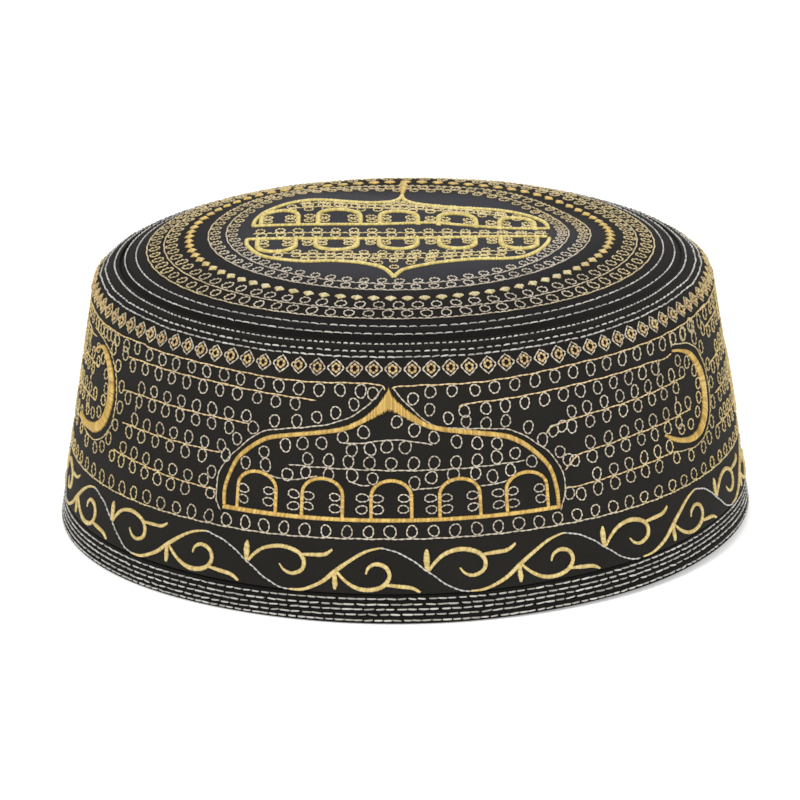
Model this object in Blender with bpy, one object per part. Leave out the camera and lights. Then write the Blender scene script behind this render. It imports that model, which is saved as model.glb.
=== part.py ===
"""An embroidered prayer cap, resting on its rim: a domed crown panel, a flared side band and a folded hem.

Metres, +Z up. The origin is the centre of the rim, on the surface that the cap stands on, and -Y is the front.
Every piece follows one outer skin, turned about Z: a dome, a rounded shoulder and a straight flared wall.
"""

import math
from collections import namedtuple

import bmesh
import bpy

# The outer skin
CAP_HEIGHT = 0.0817
DOME_DROP = 0.0079  # how far the dome has fallen at DOME_RADIUS
DOME_RADIUS = 0.0775
DOME_POWER = 4
SHOULDER_START = 0.0810  # radius at which the dome turns into the shoulder
WALL_FOOT_RADIUS = 0.09675  # where the wall's line would meet the floor
WALL_FLARE = math.radians(9.16)

# The layers of cloth
GAP = 0.0003
CROWN_THICKNESS = 0.0013
FOLD_THICKNESS = 0.0008  # the band's edge turned over the crown, and each leg of the hem
BAND_THICKNESS = FOLD_THICKNESS + GAP + CROWN_THICKNESS
TONGUE_THICKNESS = 0.0010  # the band's lower edge, held inside the hem

# Where the pieces meet
FOLD_RADIUS = 0.0788  # the band's folded edge, on the crown
TUCK_RUN = 0.0012  # the crown slopes down under the fold over this length
TUCK_END_TILT = math.radians(46)  # tilt of the shoulder where the crown's hidden edge ends
HEM_TOP = 0.0080
TONGUE_FOOT = 0.0027

# The hem's rounded edge and its rows of topstitching
HEM_OUTER_ROUND = 0.0006
HEM_INNER_ROUND = 0.0006
ROUND_STEPS = 3
HEM_ROWS = (0.0070, 0.0055, 0.0042, 0.0028, 0.00115)
ROW_DEPTH = 0.00022
ROW_HALF_WIDTH = 0.00050

SEGMENTS = 60
OPEN_CROWN_RADIUS = 0.0735
OPEN_CROWN_STEPS = 12

# The crown is soft, and sags and swells a little. A swell has a negative depth, and all fade out at HOLLOW_LIMIT.
Hollow = namedtuple("Hollow", "name x y depth spread_x spread_y")
HOLLOWS = (
    Hollow("sunken middle", 0.000, -0.002, 0.0006, 0.036, 0.024),
    Hollow("sag at the rear right", 0.042, 0.024, 0.0030, 0.030, 0.024),
    Hollow("crease before the sag", 0.030, 0.006, 0.0009, 0.016, 0.008),
    Hollow("dip before the rear rim", 0.002, 0.042, 0.0020, 0.022, 0.011),
    Hollow("swell at the rear left", -0.026, 0.026, -0.0010, 0.014, 0.013),
)
HOLLOW_LIMIT = 0.0740
HOLLOW_FADE = 6  # the power of the radius with which they fade

CLOTH_COLOURS = {
    "crown_panel": (0.020, 0.019, 0.021, 1.0),
    "side_band": (0.018, 0.018, 0.018, 1.0),
    "hem_band": (0.016, 0.015, 0.015, 1.0),
}
CLOTH_ROUGHNESS = 0.8

# A point on the outer skin with its outward normal, in the plane of radius and height
Skin = namedtuple("Skin", "radius height out_radius out_height")


def wall_radius(height):
    return WALL_FOOT_RADIUS - height * math.tan(WALL_FLARE)


def on_dome(radius):
    share = radius / DOME_RADIUS
    slope = DOME_POWER * DOME_DROP / DOME_RADIUS * share ** (DOME_POWER - 1)
    steep = math.hypot(1.0, slope)
    return Skin(radius, CAP_HEIGHT - DOME_DROP * share**DOME_POWER, slope / steep, 1.0 / steep)


SHOULDER_TOP = on_dome(SHOULDER_START)
TOP_TILT = math.atan2(SHOULDER_TOP.out_radius, SHOULDER_TOP.out_height)
FOOT_TILT = math.pi / 2 - WALL_FLARE


def shoulder_round():
    """The radius of the arc that leaves the dome at SHOULDER_START and ends on the wall's line, tangent to both."""
    across = math.sin(FOOT_TILT) - math.sin(TOP_TILT)
    down = math.cos(TOP_TILT) - math.cos(FOOT_TILT)
    lack = wall_radius(SHOULDER_TOP.height) - SHOULDER_TOP.radius
    return lack / (across - down * math.tan(WALL_FLARE))


SHOULDER_ROUND = shoulder_round()


def on_shoulder(tilt):
    """The skin where it tilts down by this angle, between TOP_TILT and FOOT_TILT."""
    radius = SHOULDER_TOP.radius + SHOULDER_ROUND * (math.sin(tilt) - math.sin(TOP_TILT))
    height = SHOULDER_TOP.height - SHOULDER_ROUND * (math.cos(TOP_TILT) - math.cos(tilt))
    return Skin(radius, height, math.sin(tilt), math.cos(tilt))


def on_wall(height):
    return Skin(wall_radius(height), height, math.cos(WALL_FLARE), math.sin(WALL_FLARE))


def inside(skin, depth):
    """(radius, height) this far under the skin."""
    return skin.radius - depth * skin.out_radius, skin.height - depth * skin.out_height


def between(start, end, steps):
    """Evenly spaced values from start to end, both included."""
    return [start + (end - start) * i / steps for i in range(steps + 1)]


def sunk_by(x, y):
    """How far the hollows lower the crown at this place."""
    fade = max(0.0, 1 - (math.hypot(x, y) / HOLLOW_LIMIT) ** HOLLOW_FADE)
    return fade * sum(
        h.depth * math.exp(-(((x - h.x) / h.spread_x) ** 2) - ((y - h.y) / h.spread_y) ** 2)
        for h in HOLLOWS
    )


def turned(name, section, lowered=None):
    """A solid turned about Z from a closed section of (radius, height), listed with the outside on its left.

    A radius of 0 makes one vertex on the axis. lowered(x, y) gives how far each point is moved down.
    """
    mesh = bpy.data.meshes.new(name)
    bm = bmesh.new()
    rings = []
    for radius, height in section:
        places = [(0.0, 0.0)]
        if radius > 0:
            angles = [2 * math.pi * k / SEGMENTS for k in range(SEGMENTS)]
            places = [(radius * math.cos(a), radius * math.sin(a)) for a in angles]
        rings.append(
            [bm.verts.new((x, y, height - (lowered(x, y) if lowered else 0.0))) for x, y in places]
        )
    for upper, lower in zip(rings, rings[1:] + rings[:1]):
        if len(upper) == len(lower) == 1:
            continue
        for k in range(SEGMENTS):
            corners = [upper[k % len(upper)], lower[k % len(lower)]]
            if len(lower) > 1:
                corners.append(lower[(k + 1) % SEGMENTS])
            if len(upper) > 1:
                corners.append(upper[(k + 1) % SEGMENTS])
            bm.faces.new(corners)
    bm.to_mesh(mesh)
    bm.free()
    mesh.shade_smooth()
    mesh.set_sharp_from_angle(angle=math.radians(40))
    obj = bpy.data.objects.new(name, mesh)
    bpy.context.scene.collection.objects.link(obj)
    return obj


def crown_section():
    """The top of the crown from the axis out, then its tucked edge, then back along the underside."""
    open_radii = between(0.0, OPEN_CROWN_RADIUS, OPEN_CROWN_STEPS)
    shown = [on_dome(r) for r in open_radii + [FOLD_RADIUS - GAP - TUCK_RUN]]
    tucked = [on_dome(FOLD_RADIUS - GAP)]
    tucked += [on_shoulder(t) for t in between(TOP_TILT, TUCK_END_TILT, 2)]
    under_fold = FOLD_THICKNESS + GAP
    top = [inside(s, 0.0) for s in shown] + [inside(s, under_fold) for s in tucked]
    bottom = [inside(s, under_fold + CROWN_THICKNESS) for s in reversed(tucked)]
    bottom += [inside(s, CROWN_THICKNESS) for s in reversed(shown)]
    return top + bottom


def band_section():
    """The band from its folded edge down the outside to the tongue, then back up the inside to the fold."""
    rabbet_tilt = TUCK_END_TILT + GAP / SHOULDER_ROUND
    fold = [on_dome(FOLD_RADIUS)] + [on_shoulder(t) for t in between(TOP_TILT, TUCK_END_TILT, 2)]
    fold.append(on_shoulder(rabbet_tilt))
    shoulder = [on_shoulder(t) for t in between(rabbet_tilt, FOOT_TILT, 3)]
    wall = [on_wall(h) for h in between(shoulder[-1].height, HEM_TOP, 3)[1:]]
    tongue_out = FOLD_THICKNESS + GAP
    tongue_in = tongue_out + TONGUE_THICKNESS
    outside = [inside(s, 0.0) for s in fold + shoulder[1:] + wall]
    tongue = [
        inside(on_wall(HEM_TOP), tongue_out),
        inside(on_wall(TONGUE_FOOT), tongue_out),
        inside(on_wall(TONGUE_FOOT), tongue_in),
        inside(on_wall(HEM_TOP + GAP), tongue_in),
        inside(on_wall(HEM_TOP + GAP), BAND_THICKNESS),
    ]
    inner = [inside(s, BAND_THICKNESS) for s in reversed(shoulder + wall[:-1])]
    under_fold = [inside(s, FOLD_THICKNESS) for s in reversed(fold)]
    return outside + tongue + inner + under_fold


def hem_section():
    """The hem as a U round the tongue: down the stitched outside, under the edge and up both faces of the slot."""
    top = HEM_TOP - GAP
    thickness = 2 * FOLD_THICKNESS + 2 * GAP + TONGUE_THICKNESS
    outside = [inside(on_wall(top), 0.0)]
    for row in HEM_ROWS:
        outside.append(inside(on_wall(row + ROW_HALF_WIDTH), 0.0))
        outside.append(inside(on_wall(row), ROW_DEPTH))
    outside.append(inside(on_wall(HEM_ROWS[-1] - ROW_HALF_WIDTH), 0.0))
    outer_edge = wall_radius(HEM_OUTER_ROUND)
    for turn in between(0.0, math.pi / 2, ROUND_STEPS)[1:]:
        outside.append(
            (
                outer_edge - HEM_OUTER_ROUND * (1 - math.cos(turn)),
                HEM_OUTER_ROUND * (1 - math.sin(turn)),
            )
        )
    inner_edge = inside(on_wall(HEM_INNER_ROUND), thickness)[0]
    inner = [
        (
            inner_edge + HEM_INNER_ROUND * (1 - math.sin(turn)),
            HEM_INNER_ROUND * (1 - math.cos(turn)),
        )
        for turn in between(0.0, math.pi / 2, ROUND_STEPS)
    ]
    inner.append(inside(on_wall(top), thickness))
    slot_foot = on_wall(TONGUE_FOOT - GAP)
    slot_in = thickness - FOLD_THICKNESS
    slot = [
        inside(on_wall(top), slot_in),
        inside(slot_foot, slot_in),
        inside(slot_foot, FOLD_THICKNESS),
        inside(on_wall(top), FOLD_THICKNESS),
    ]
    return outside + inner + slot


def cloth(name):
    material = bpy.data.materials.new(name + "_cloth")
    material.use_nodes = True
    shader = material.node_tree.nodes["Principled BSDF"]
    shader.inputs["Base Color"].default_value = CLOTH_COLOURS[name]
    shader.inputs["Roughness"].default_value = CLOTH_ROUGHNESS
    shader.inputs["Metallic"].default_value = 0.0
    material.diffuse_color = CLOTH_COLOURS[name]
    return material


def main():
    for obj in list(bpy.data.objects):
        bpy.data.objects.remove(obj, do_unlink=True)
    pieces = (
        turned("crown_panel", crown_section(), lowered=sunk_by),
        turned("side_band", band_section()),
        turned("hem_band", hem_section()),
    )
    for piece in pieces:
        piece.data.materials.append(cloth(piece.name))


main()
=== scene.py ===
"""The embroidered prayer cap: stiffened black cloth with gold, beige and silver thread, resting on its rim.

Lengths are millimetres until a mesh is made. The embroidery is drawn on two charts. The side's chart has
(across, climb): across runs round the cap from the front towards +X, measured at CHART_RADIUS, and climb
runs up the skin from the height CHART_FOOT. The crown's chart is the plan, (x, y), with the front at -y.
"""

import math
from collections import namedtuple

import bpy
import numpy as np
from mathutils import Matrix, Vector


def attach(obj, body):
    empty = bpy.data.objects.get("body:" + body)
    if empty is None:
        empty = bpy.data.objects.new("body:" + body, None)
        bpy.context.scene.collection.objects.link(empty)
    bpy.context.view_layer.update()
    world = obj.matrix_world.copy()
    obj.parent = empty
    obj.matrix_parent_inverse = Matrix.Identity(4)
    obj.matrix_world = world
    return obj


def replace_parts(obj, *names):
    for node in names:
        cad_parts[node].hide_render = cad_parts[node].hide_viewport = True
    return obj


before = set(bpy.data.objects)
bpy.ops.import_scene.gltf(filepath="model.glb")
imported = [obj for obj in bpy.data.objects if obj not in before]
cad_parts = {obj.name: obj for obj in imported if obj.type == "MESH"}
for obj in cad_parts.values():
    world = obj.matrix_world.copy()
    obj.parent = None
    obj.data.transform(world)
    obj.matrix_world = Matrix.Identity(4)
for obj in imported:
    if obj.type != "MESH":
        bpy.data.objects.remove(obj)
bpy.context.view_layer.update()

MM = 0.001
TAU = 2 * math.pi

# The outer skin, as in the frame
CAP_HEIGHT = 81.7
DOME_DROP = 7.9
DOME_RADIUS = 77.5
DOME_POWER = 4
SHOULDER_START = 81.0
WALL_FOOT_RADIUS = 96.75
WALL_FLARE = math.radians(9.16)
CHART_RADIUS = 92.0
CHART_FOOT = 3.4
ROUND_THE_CHART = TAU * CHART_RADIUS
CHART_UNIT = 10.0  # one unit of a chart's UV map

# The layers of cloth
CROWN_THICKNESS = 1.3
FOLD_THICKNESS = 0.8
LAYER_GAP = 0.3
BAND_THICKNESS = 2.4
TONGUE_THICKNESS = 1.0
HEM_THICKNESS = 3.2
FOLD_RADIUS = 78.8
TUCK_RUN = 1.2
TUCK_TILT = math.radians(46)
HEM_TOP = 8.0
TONGUE_FOOT = 2.7
HEM_ROUND = 0.6

Hollow = namedtuple("Hollow", "name x y depth spread_x spread_y")
HOLLOWS = (
    Hollow("sunken middle", 0, -2, 0.6, 36, 24),
    Hollow("sag at the rear right", 42, 24, 3.0, 30, 24),
    Hollow("crease before the sag", 30, 6, 0.9, 16, 8),
    Hollow("dip before the rear rim", 2, 42, 2.0, 22, 11),
    Hollow("swell at the rear left", -26, 26, -1.0, 14, 13),
)
HOLLOW_LIMIT = 74.0
HOLLOW_FADE = 6
REAR_DROOP = 1.5  # how far the crown's rear edge hangs lower
DROOP_START, DROOP_END = 61.0, 76.0
REAR_DIP = 1.3  # how far the cloth before that edge dips further
DIP_Y, DIP_X_SPREAD, DIP_Y_SPREAD = 55.0, 34.0, 9.0

# Sewn rows that press a groove into the cloth, by climb on the side and by radius on the crown
Groove = namedtuple("Groove", "at depth half_width")
SHOULDER_ROWS = (73.0, 70.2, 68.4)
HEM_ROW_HEIGHTS = (6.65, 5.15, 3.85, 2.45, 0.9)
CROWN_PLAIN_ROWS = (72.8, 75.9)
ROWS_WIDER_LEFT = 1.1  # how much wider the crown's plain rows run on the left


def ease(value, start, end):
    """A smooth rise from 0 at start to 1 at end."""
    share = np.clip((np.asarray(value, float) - start) / (end - start), 0, 1)
    return share * share * (3 - 2 * share)


def wall_radius(height):
    return WALL_FOOT_RADIUS - height * math.tan(WALL_FLARE)


def dome_height(radius):
    return CAP_HEIGHT - DOME_DROP * (radius / DOME_RADIUS) ** DOME_POWER


def dome_slope(radius):
    return DOME_POWER * DOME_DROP / DOME_RADIUS * (radius / DOME_RADIUS) ** (DOME_POWER - 1)


TOP_TILT = math.atan(dome_slope(SHOULDER_START))
FOOT_TILT = math.pi / 2 - WALL_FLARE


def shoulder_round():
    """The radius of the arc that joins the dome at SHOULDER_START to the wall's line, tangent to both."""
    across = math.sin(FOOT_TILT) - math.sin(TOP_TILT)
    down = math.cos(TOP_TILT) - math.cos(FOOT_TILT)
    lack = wall_radius(dome_height(SHOULDER_START)) - SHOULDER_START
    return lack / (across - down * math.tan(WALL_FLARE))


SHOULDER_ROUND = shoulder_round()


def lengths(path):
    """The length along the path at each of its points."""
    return np.concatenate([[0.0], np.cumsum(np.hypot(*np.diff(path[:, :2], axis=0).T))])


def outer_skin():
    """The skin from the floor to the crown's middle: rows of climb, radius, height and outward normal."""
    tilt = np.linspace(FOOT_TILT, TOP_TILT, 120)
    arc_radius = SHOULDER_START + SHOULDER_ROUND * (np.sin(tilt) - math.sin(TOP_TILT))
    arc_height = dome_height(SHOULDER_START) - SHOULDER_ROUND * (math.cos(TOP_TILT) - np.cos(tilt))
    wall_height = np.linspace(-1.0, arc_height[0], 300)[:-1]
    dome = np.linspace(SHOULDER_START, 0.0, 400)[1:]
    radius = np.concatenate([wall_radius(wall_height), arc_radius, dome])
    height = np.concatenate([wall_height, arc_height, dome_height(dome)])
    slant = np.concatenate([np.full(len(wall_height), FOOT_TILT), tilt, np.arctan(dome_slope(dome))])
    run = lengths(np.stack([radius, height], -1))
    climb = run - np.interp(CHART_FOOT, height[: len(wall_height)], run[: len(wall_height)])
    return np.stack([climb, radius, height, np.sin(slant), np.cos(slant)])


SKIN = outer_skin()


def skin_at(climb):
    """Radius, height and the outward normal's two parts at each climb."""
    return [np.interp(climb, SKIN[0], row) for row in SKIN[1:]]


def climb_of_radius(radius):
    """The climb at which the dome or the shoulder has this radius."""
    return float(np.interp(-radius, -SKIN[1], SKIN[0]))


def climb_of_height(height):
    return (height - CHART_FOOT) / math.cos(WALL_FLARE)


FOLD_CLIMB = climb_of_radius(FOLD_RADIUS)
TUCK_CLIMB = float(np.interp(-math.sin(TUCK_TILT), -SKIN[3], SKIN[0]))  # where the crown's hidden edge ends
SIDE_GROOVES = [Groove(climb, 0.24, 0.55) for climb in SHOULDER_ROWS]
SIDE_GROOVES += [Groove(climb_of_height(height), 0.32, 0.36) for height in HEM_ROW_HEIGHTS]
CROWN_GROOVES = [Groove(radius, 0.16, 0.6) for radius in CROWN_PLAIN_ROWS]


def pressed_in(place, grooves):
    """How deep the grooves press the cloth at each place."""
    return sum(g.depth * np.exp(-(((place - g.at) / g.half_width) ** 2)) for g in grooves)


def sunk_by(x, y):
    """How far the hollows lower the crown at each place."""
    fade = np.maximum(0.0, 1 - (np.hypot(x, y) / HOLLOW_LIMIT) ** HOLLOW_FADE)
    return fade * sum(
        h.depth * np.exp(-(((x - h.x) / h.spread_x) ** 2) - ((y - h.y) / h.spread_y) ** 2)
        for h in HOLLOWS
    )


# Waves of the band's cloth. Their phase moves on by 1 over the stated climb
Wave = namedtuple("Wave", "size count phase climb")
SLOW_WAVES = (Wave(0.20, 3, 0.8, math.inf), Wave(0.14, 7, 2.1, 40))
GATHERS = (Wave(0.15, 29, 0.4, 9), Wave(0.10, 47, 0, 4), Wave(0.07, 83, 0, -3))
GATHERS_CLIMB, GATHERS_SPREAD = 69, 8
CALM_RUN = 8  # the fold is even, and the waves grow over this climb below it


def waves(table, turn, climb):
    return sum(w.size * np.sin(w.count * turn + w.phase + climb / w.climb) for w in table)


def swell(turn, climb):
    """The band's slight unevenness round the cap, with soft gathers where it turns over the shoulder."""
    gathered = np.exp(-(((climb - GATHERS_CLIMB) / GATHERS_SPREAD) ** 2))
    calm = np.clip((FOLD_CLIMB - climb) / CALM_RUN, 0, 1)
    return (waves(SLOW_WAVES, turn, climb) + waves(GATHERS, turn, climb) * gathered) * calm


# How much of the rise on the right, and of the sag on the left, each climb takes
LEAN_CLIMBS = (-4, -1, 1, 3, 6, 12, 24, 50, 62)
LEAN_SHARES = (0.8, 1.3, 1.4, 1.3, 1.0, 0.75, 0.1, 0.1, 1.0)
LEFT_SAG = 0.45
SAG_CLIMBS = (-2.8, -1.5, 3, 6, 14, 18, 22, 24.5)
SAG_SHARES = (0, 1, 1, 0, 0, 1.3, 1.3, 0)


def lean(across, climb):
    """How far the cloth creeps up the skin on the cap's right side and, below 0, down on its left."""
    across = (across + ROUND_THE_CHART / 2) % ROUND_THE_CHART - ROUND_THE_CHART / 2
    rise = (0.55 * ease(across, 10, 55) + 1.0 * ease(across, 40, 110)) * (1 - ease(across, 150, 280))
    fall = LEFT_SAG * ease(-across, 5, 45) * (1 - ease(-across, 120, 220))
    rise = rise * np.interp(climb, LEAN_CLIMBS, LEAN_SHARES)
    return rise - fall * np.interp(climb, SAG_CLIMBS, SAG_SHARES)


def around(across, climb, radius, height, out_radius, out_height):
    """Points at these radii and heights, crept up the skin by the lean, with the skin's normals."""
    turn = across / CHART_RADIUS
    up = lean(across, climb)
    radius = radius + swell(turn, climb) - up * out_height
    points = np.stack([radius * np.sin(turn), -radius * np.cos(turn), height + up * out_radius], -1)
    normals = np.stack([out_radius * np.sin(turn), -out_radius * np.cos(turn), out_height + 0 * turn], -1)
    return points, normals


def on_side(across, climb, lift):
    """Points and outward normals of the side, lifted off the cloth."""
    radius, height, out_radius, out_height = skin_at(climb)
    off = lift - pressed_in(climb, SIDE_GROOVES)
    radius, height = radius + off * out_radius, height + off * out_height
    return around(across, climb, radius, height, out_radius, out_height)


def crown_height(x, y):
    radius = np.hypot(x, y)
    return dome_height(radius) - pressed_in(radius + crown_lean(x, y), CROWN_GROOVES) - sunk_by(x, y)


def crown_lean(x, y):
    """How far the crown's plain rows are drawn inwards, below 0 where they run wider on the left."""
    turn = np.arctan2(x, -y)
    return 0.4 * lean(CHART_RADIUS * turn, FOLD_CLIMB) - ROWS_WIDER_LEFT * np.maximum(-np.sin(turn), 0) ** 2


def on_crown(x, y, lift):
    """Points and outward normals of the crown, lifted off the cloth."""
    step = 0.2
    slope_x = (crown_height(x + step, y) - crown_height(x - step, y)) / (2 * step)
    slope_y = (crown_height(x, y + step) - crown_height(x, y - step)) / (2 * step)
    normals = np.stack([-slope_x, -slope_y, np.ones_like(slope_x)], -1)
    normals /= np.linalg.norm(normals, axis=-1, keepdims=True)
    points = np.stack([x, y, crown_height(x, y)], -1)
    return points + normals * np.asarray(lift)[..., None], normals


def drooped(points):
    """The same points with the crown's rear edge, and the cloth just before it, a little lower."""
    x, y, height = points.T
    dip = REAR_DIP * np.exp(-((x / DIP_X_SPREAD) ** 2) - ((y - DIP_Y) / DIP_Y_SPREAD) ** 2)
    sag = REAR_DROOP * ease(y, DROOP_START, DROOP_END)
    return np.stack([x, y, height - (dip + sag) * (height / CAP_HEIGHT) ** 2], -1)


# Curves on the charts


def smooth(points, steps=10):
    """A Catmull-Rom curve through the points. It carries any further columns, such as a width, along."""
    p = np.array([points[0], *points, points[-1]], float)
    t = np.linspace(0, 1, steps, endpoint=False)[:, None]
    runs = [
        0.5 * (2 * b + (c - a) * t + (2 * a - 5 * b + 4 * c - d) * t**2 + (3 * b - a - 3 * c + d) * t**3)
        for a, b, c, d in zip(p, p[1:], p[2:], p[3:])
    ]
    return np.concatenate(runs + [p[-1:]])


def resampled(path, spacing):
    """The path at even steps of about this spacing."""
    run = lengths(path)
    count = max(2, round(run[-1] / spacing) + 1)
    even = np.linspace(0, run[-1], count)
    return np.stack([np.interp(even, run, column) for column in path.T], -1)


def sideways(path):
    """Unit normals of a path, to its left."""
    along = np.gradient(path[:, :2], axis=0)
    along /= np.maximum(np.linalg.norm(along, axis=1, keepdims=True), 1e-9)
    return np.stack([-along[:, 1], along[:, 0]], -1)


# Meshes of thread


def quads(here, ahead):
    """Faces with four corners between two sets of rings of vertex numbers."""
    rings = [here, ahead, np.roll(ahead, -1, axis=-1), np.roll(here, -1, axis=-1)]
    return np.stack(rings, -1).reshape(-1, 4)


class Needlework:
    """Tubes and ribbons of thread in one mesh. Each is laid on a chart by its place function."""

    SIDES = 5
    TUBE_TURN = TAU * (np.arange(SIDES) + 0.25) / SIDES
    RIBBON_COLUMNS = np.array([-1.0, -0.62, 0.0, 0.62, 1.0])
    RIBBON_ARCH = np.array([-0.12, 0.72, 1.0, 0.72, -0.12])
    LINE_STATIONS = 4  # on each stitch of a line
    LOOP_STITCH = (0.0, 1.0, 1.0)  # how plump a loop's stitch is at its stations

    def __init__(self, name, seed):
        self.name = name
        self.random = np.random.default_rng(seed)
        self.points = []
        self.shades = []
        self.faces = []
        self.total = 0

    def gather(self, points, shade, closed):
        """points is (tubes, stations, sides, 3) and shade (tubes, stations), from 0 to 1 for the colour."""
        index = self.total + np.arange(points.size // 3).reshape(points.shape[:3])
        if closed:
            self.faces.append(quads(index, np.roll(index, -1, axis=1)))
        else:
            self.faces += [quads(index[:, :-1], index[:, 1:]), index[:, 0], index[:, -1, ::-1]]
        self.points.append(points.reshape(-1, 3))
        self.shades.append(np.repeat(np.broadcast_to(shade, points.shape[:2]), points.shape[2]))
        self.total += points.size // 3

    def tubes(self, centres, normals, half_width, shade, closed):
        """Round tubes. centres and normals are (tubes, stations, 3), half_width is (tubes, stations)."""
        ahead = np.roll(centres, -1, axis=1) - np.roll(centres, 1, axis=1)
        along = ahead if closed else np.gradient(centres, axis=1)
        side = np.cross(along, normals)
        side /= np.maximum(np.linalg.norm(side, axis=-1, keepdims=True), 1e-9)
        across = side[:, :, None, :] * (half_width[..., None] * np.cos(self.TUBE_TURN))[..., None]
        up = normals[:, :, None, :] * (half_width[..., None] * np.sin(self.TUBE_TURN))[..., None]
        self.gather(centres[:, :, None, :] + across + up, shade, closed)

    def line(self, place, path, half=0.20, stitch=1.9, closed=False):
        """A line of back stitch: one long tube that swells in each stitch and dips between two."""
        path = resampled(np.asarray(path, float), stitch / self.LINE_STATIONS)
        if closed:
            path = path[:-1]
        phase = np.arange(len(path)) / self.LINE_STATIONS
        plump = np.abs(np.sin(math.pi * phase)) ** 0.6
        wander = 0.07 * np.sin(phase * 1.7 + self.random.uniform(0, TAU))
        flat = path[:, :2] + sideways(path) * wander[:, None]
        points, normals = place(flat[:, 0], flat[:, 1], half * (0.1 + 0.9 * plump))
        wide = half * (0.60 + 0.45 * plump)
        if not closed:
            wide[[0, -1]] *= 0.2
        tones = self.random.uniform(0, 0.55, len(path) // self.LINE_STATIONS + 2)
        # Painted shade and highlight: each stitch's plump middle is painted lighter, and its dips into the
        # cloth darker, on top of a random tone.
        shade = tones[(phase + 0.5).astype(int)] + 0.45 * plump
        self.tubes(points[None], normals[None], wide[None], shade[None], closed)

    def dashes(self, place, path, half, stitch, share, wobble=0.12):
        """A row of separate running stitches along a path, which wavers a little."""
        run = lengths(path)
        count = max(1, round(run[-1] / stitch))
        stitch = run[-1] / count
        stations = np.array([-0.50, -0.45, -0.25, 0.25, 0.45, 0.50])
        size = np.array([0.12, 0.75, 1.00, 1.00, 0.75, 0.12])
        rise = np.array([-0.5, 0.2, 0.8, 0.8, 0.2, -0.5])
        middle = (np.arange(count)[:, None] + 0.5 + self.random.uniform(-0.08, 0.08, (count, 1))) * stitch
        at = middle + stations * stitch * share * self.random.uniform(0.86, 1.10, (count, 1))
        x, y = (np.interp(at, run, path[:, k]) for k in (0, 1))
        waver = wobble * (np.sin(middle / 17 + half * 40) + 0.5 * np.sin(middle / 5.3 + stitch))
        y = y + waver + self.random.normal(0, 0.05, (count, 1)) * stations * stitch
        points, normals = place(x, y, half * rise + 0 * at)
        wide = half * size * self.random.uniform(0.85, 1.10, (count, 1))
        self.tubes(points, normals, wide, self.random.uniform(0.15, 1, (count, 1)), closed=False)

    def loops(self, place, spots, angle=0.0, across=1.50, upright=1.68, half=0.20, stitches=8, corners=1.0,
              rough=1.0):
        """Small rings of back stitch. corners is 1 for ovals and 2 for lozenges, rough their unevenness."""
        spots = np.asarray(spots, float).reshape(-1, 2)
        count = len(spots)
        plump = np.tile(self.LOOP_STITCH, stitches)
        angle = np.broadcast_to(angle, count)[:, None] + self.random.normal(0, 0.10 * rough, (count, 1))
        turn = TAU * np.arange(len(plump)) / len(plump)
        uneven = 1 + 0.05 * rough * np.sin(2 * turn + self.random.uniform(0, TAU, (count, 1)))
        uneven += 0.04 * rough * np.sin(3 * turn + self.random.uniform(0, TAU, (count, 1)))
        uneven *= 1 + rough * self.random.uniform(-0.08, 0.06, (count, 1))
        a = across * uneven * np.sign(np.cos(turn)) * np.abs(np.cos(turn)) ** corners
        b = upright * uneven * np.sign(np.sin(turn)) * np.abs(np.sin(turn)) ** corners
        spots = spots + self.random.normal(0, 0.12 * rough, (count, 2))
        x = spots[:, :1] + a * np.cos(angle) - b * np.sin(angle)
        y = spots[:, 1:] + a * np.sin(angle) + b * np.cos(angle)
        points, normals = place(x, y, half * (0.1 + 0.9 * plump) + 0 * x)
        wide = half * (0.62 + 0.42 * plump) + 0 * x
        # Painted shade and highlight: each loop's plump stitches are painted lighter, and its dips into the
        # cloth darker, on top of a random tone.
        shade = self.random.uniform(0, 0.5, (count, 1)) + 0.5 * plump
        self.tubes(points, normals, wide, shade, closed=True)

    def satin(self, place, path, height, lay=0.42, slant=0.25, upright=0.0, plumb=False, rough=0.06):
        """A raised ribbon along a path of (across, climb, width), with a ridge for each lay of thread.

        slant leans every lay along the path, and upright turns those of a sloping path to the vertical.
        plumb makes every lay vertical and as tall as the third column says. rough is their unevenness.
        """
        path = resampled(np.asarray(path, float), lay / 2)
        count = len(path)
        left = sideways(path)
        along = np.stack([left[:, 1], -left[:, 0]], -1)
        lays = left + (slant + upright * 2 * along[:, :1] * along[:, 1:]) * along
        if plumb:
            lays = np.tile([0.0, 1.0], (count, 1))
        ridge = np.where(np.arange(count) % 2, 1.0, 0.62)
        half = path[:, 2] / 2 * (1 + self.random.normal(0, rough, count))
        offset = self.RIBBON_COLUMNS * half[:, None]
        flat = path[:, None, :2] + lays[:, None] * offset[..., None]
        tall = height * np.minimum(1.0, path[:, 2] / 1.1) * ridge
        tall[[0, -1]] *= 0.3
        points, _ = place(flat[..., 0], flat[..., 1], self.RIBBON_ARCH * tall[:, None])
        shade = np.repeat(self.random.uniform(0, 1, (count + 1) // 2), 2)[:count]
        self.gather(points[None], shade[None], closed=False)

    def finish(self, material):
        """Make the mesh, and ride it on the cap."""
        faces = [face for array in self.faces for face in array.tolist()]
        points, shades = np.concatenate(self.points), np.concatenate(self.shades)
        piece(self.name, points, faces, material, shades)


def placed(name, data):
    """A new object in the scene."""
    obj = bpy.data.objects.new(name, data)
    bpy.context.scene.collection.objects.link(obj)
    return obj


def piece(name, points, faces, material, shades=None, corner_charts=None):
    """A smooth piece from points in millimetres. corner_charts has each face corner's place on its chart."""
    mesh = bpy.data.meshes.new(name)
    mesh.from_pydata(drooped(points) * MM, [], faces)
    mesh.shade_smooth()
    if shades is not None:
        mesh.attributes.new("shade", "FLOAT", "POINT").data.foreach_set("value", shades.astype(np.float32))
    if corner_charts is not None:
        layer = mesh.uv_layers.new(name="chart")
        layer.data.foreach_set("uv", (corner_charts / CHART_UNIT).astype(np.float32).ravel())
    mesh.materials.append(material)
    obj = placed(name, mesh)
    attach(obj, "root")
    return obj


# Materials


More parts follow.
